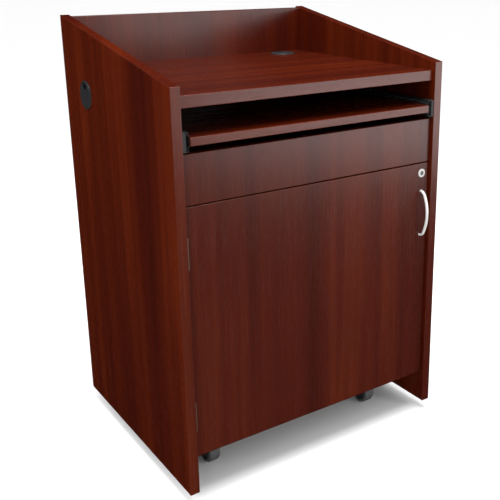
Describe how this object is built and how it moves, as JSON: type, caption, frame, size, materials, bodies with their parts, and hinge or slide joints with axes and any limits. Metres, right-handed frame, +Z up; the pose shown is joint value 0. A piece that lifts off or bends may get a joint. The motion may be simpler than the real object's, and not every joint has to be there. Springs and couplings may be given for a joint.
{
  "type": "lectern stand",
  "caption": "Wheeled cabinet lectern in dark wood-grain laminate, with a railed worktop, a pull-out keyboard tray and a lockable hinged door.",
  "frame": {"origin": "on the floor, under the centre of the stand's outline", "axes": "+Z up, front (door and tray) towards -Y, +X to the right of someone who stands at the front"},
  "size_m": [0.803, 0.6868, 1.165],
  "materials": {
    "laminate": "satin dark red-brown wood-grain laminate",
    "satin_nickel": "satin nickel plate",
    "zinc_steel": "bright zinc plate",
    "hinge_steel": "dark bronze plate",
    "black_steel": "black electro-coat",
    "caster_steel": "zinc plate",
    "black_plastic": "matt",
    "grommet_plastic": "fine moulded texture",
    "grey_rubber": "dark grey non-marking rubber"
  },
  "bodies": {
    "cabinet": {"left_side_panel": "laminate", "right_side_panel": "laminate", "back_panel": "laminate", "worktop": "laminate", "bottom_panel": "laminate", "front_apron": "laminate", "panel_connectors": "zinc_steel", "adjustable_shelf": "laminate", "shelf_pins": "zinc_steel", "left_slide_packer": "black_plastic", "right_slide_packer": "black_plastic", "left_slide_cabinet_member": "black_steel", "right_slide_cabinet_member": "black_steel", "slide_screws": "zinc_steel", "worktop_grommet_liner": "grommet_plastic", "side_grommet_liner": "grommet_plastic", "upper_hinge_panel_leaf": "hinge_steel", "lower_hinge_panel_leaf": "hinge_steel", "hinge_pins": "hinge_steel", "hinge_panel_screws": "hinge_steel", "caster_screws": "zinc_steel", "front_left_caster_plate": "caster_steel", "front_right_caster_plate": "caster_steel", "rear_left_caster_plate": "caster_steel", "rear_right_caster_plate": "caster_steel"},
    "door": {"door": "laminate", "upper_hinge_door_leaf": "hinge_steel", "lower_hinge_door_leaf": "hinge_steel", "hinge_door_screws": "hinge_steel", "door_handle": "satin_nickel", "handle_screws": "zinc_steel", "lock_barrel": "satin_nickel", "lock_nut": "zinc_steel"},
    "lock": {"lock_plug": "satin_nickel", "lock_cam": "zinc_steel", "cam_screw": "zinc_steel"},
    "tray": {"keyboard_tray": "laminate", "left_slide_tray_member": "black_steel", "right_slide_tray_member": "black_steel", "tray_screws": "zinc_steel"},
    "slide_middle": {"left_slide_middle_member": "black_steel", "right_slide_middle_member": "black_steel"},
    "worktop_cap": {"worktop_grommet_cap": "grommet_plastic"},
    "side_cap": {"side_grommet_cap": "grommet_plastic"},
    "front_left_swivel": {"front_left_caster_fork": "caster_steel", "front_left_caster_axle": "caster_steel"},
    "front_left_wheel": {"front_left_caster_wheel": "grey_rubber"},
    "front_left_pedal": {"front_left_brake_pedal": "black_steel"},
    "front_right_swivel": {"front_right_caster_fork": "caster_steel", "front_right_caster_axle": "caster_steel"},
    "front_right_wheel": {"front_right_caster_wheel": "grey_rubber"},
    "front_right_pedal": {"front_right_brake_pedal": "black_steel"},
    "rear_left_swivel": {"rear_left_caster_fork": "caster_steel", "rear_left_caster_axle": "caster_steel"},
    "rear_left_wheel": {"rear_left_caster_wheel": "grey_rubber"},
    "rear_right_swivel": {"rear_right_caster_fork": "caster_steel", "rear_right_caster_axle": "caster_steel"},
    "rear_right_wheel": {"rear_right_caster_wheel": "grey_rubber"}
  },
  "joints": [
    {"name": "door_hinge", "type": "hinge", "parent": "cabinet", "child": "door", "pos_m": [-0.3719, -0.31427, 0.45125], "axis": [0, 0, -1], "range_deg": [0, 120]},
    {"name": "lock_turn", "type": "hinge", "parent": "door", "child": "lock", "pos_m": [0.347, -0.31156, 0.745], "axis": [0, 1, 0], "range_deg": [0, 90]},
    {"name": "tray_slide", "type": "slide", "parent": "cabinet", "child": "tray", "axis": [0, -1, 0], "range_m": [0, 0.38]},
    {"name": "slide_middle_run", "type": "slide", "parent": "cabinet", "child": "slide_middle", "axis": [0, -1, 0], "range_m": [0, 0.19]},
    {"name": "worktop_cap_turn", "type": "hinge", "parent": "cabinet", "child": "worktop_cap", "pos_m": [0.27, 0.26343, 1.0255], "axis": [0, 0, 1], "continuous": true},
    {"name": "side_cap_turn", "type": "hinge", "parent": "cabinet", "child": "side_cap", "pos_m": [-0.4, 0.18943, 0.96575], "axis": [-1, 0, 0], "continuous": true},
    {"name": "front_left_swivel_turn", "type": "hinge", "parent": "cabinet", "child": "front_left_swivel", "pos_m": [-0.267, -0.19656, 0.095], "axis": [0, 0, 1], "continuous": true},
    {"name": "front_left_pedal_lift", "type": "hinge", "parent": "front_left_swivel", "child": "front_left_pedal", "pos_m": [-0.267, -0.15757, 0.087], "axis": [1, 0, 0], "range_deg": [0, 20]},
    {"name": "front_left_wheel_spin", "type": "hinge", "parent": "front_left_swivel", "child": "front_left_wheel", "pos_m": [-0.267, -0.16656, 0.038], "axis": [1, 0, 0], "continuous": true},
    {"name": "front_right_swivel_turn", "type": "hinge", "parent": "cabinet", "child": "front_right_swivel", "pos_m": [0.267, -0.19656, 0.095], "axis": [0, 0, 1], "continuous": true},
    {"name": "front_right_pedal_lift", "type": "hinge", "parent": "front_right_swivel", "child": "front_right_pedal", "pos_m": [0.267, -0.15757, 0.087], "axis": [1, 0, 0], "range_deg": [0, 20]},
    {"name": "front_right_wheel_spin", "type": "hinge", "parent": "front_right_swivel", "child": "front_right_wheel", "pos_m": [0.267, -0.16656, 0.038], "axis": [1, 0, 0], "continuous": true},
    {"name": "rear_left_swivel_turn", "type": "hinge", "parent": "cabinet", "child": "rear_left_swivel", "pos_m": [-0.267, 0.21843, 0.095], "axis": [0, 0, 1], "continuous": true},
    {"name": "rear_left_wheel_spin", "type": "hinge", "parent": "rear_left_swivel", "child": "rear_left_wheel", "pos_m": [-0.267, 0.24843, 0.038], "axis": [1, 0, 0], "continuous": true},
    {"name": "rear_right_swivel_turn", "type": "hinge", "parent": "cabinet", "child": "rear_right_swivel", "pos_m": [0.267, 0.21843, 0.095], "axis": [0, 0, 1], "continuous": true},
    {"name": "rear_right_wheel_spin", "type": "hinge", "parent": "rear_right_swivel", "child": "rear_right_wheel", "pos_m": [0.267, 0.24843, 0.038], "axis": [1, 0, 0], "continuous": true}
  ],
  "couplings": [
    {"joint": "slide_middle_run", "follows": "tray_slide", "ratio": 0.5}
  ]
}
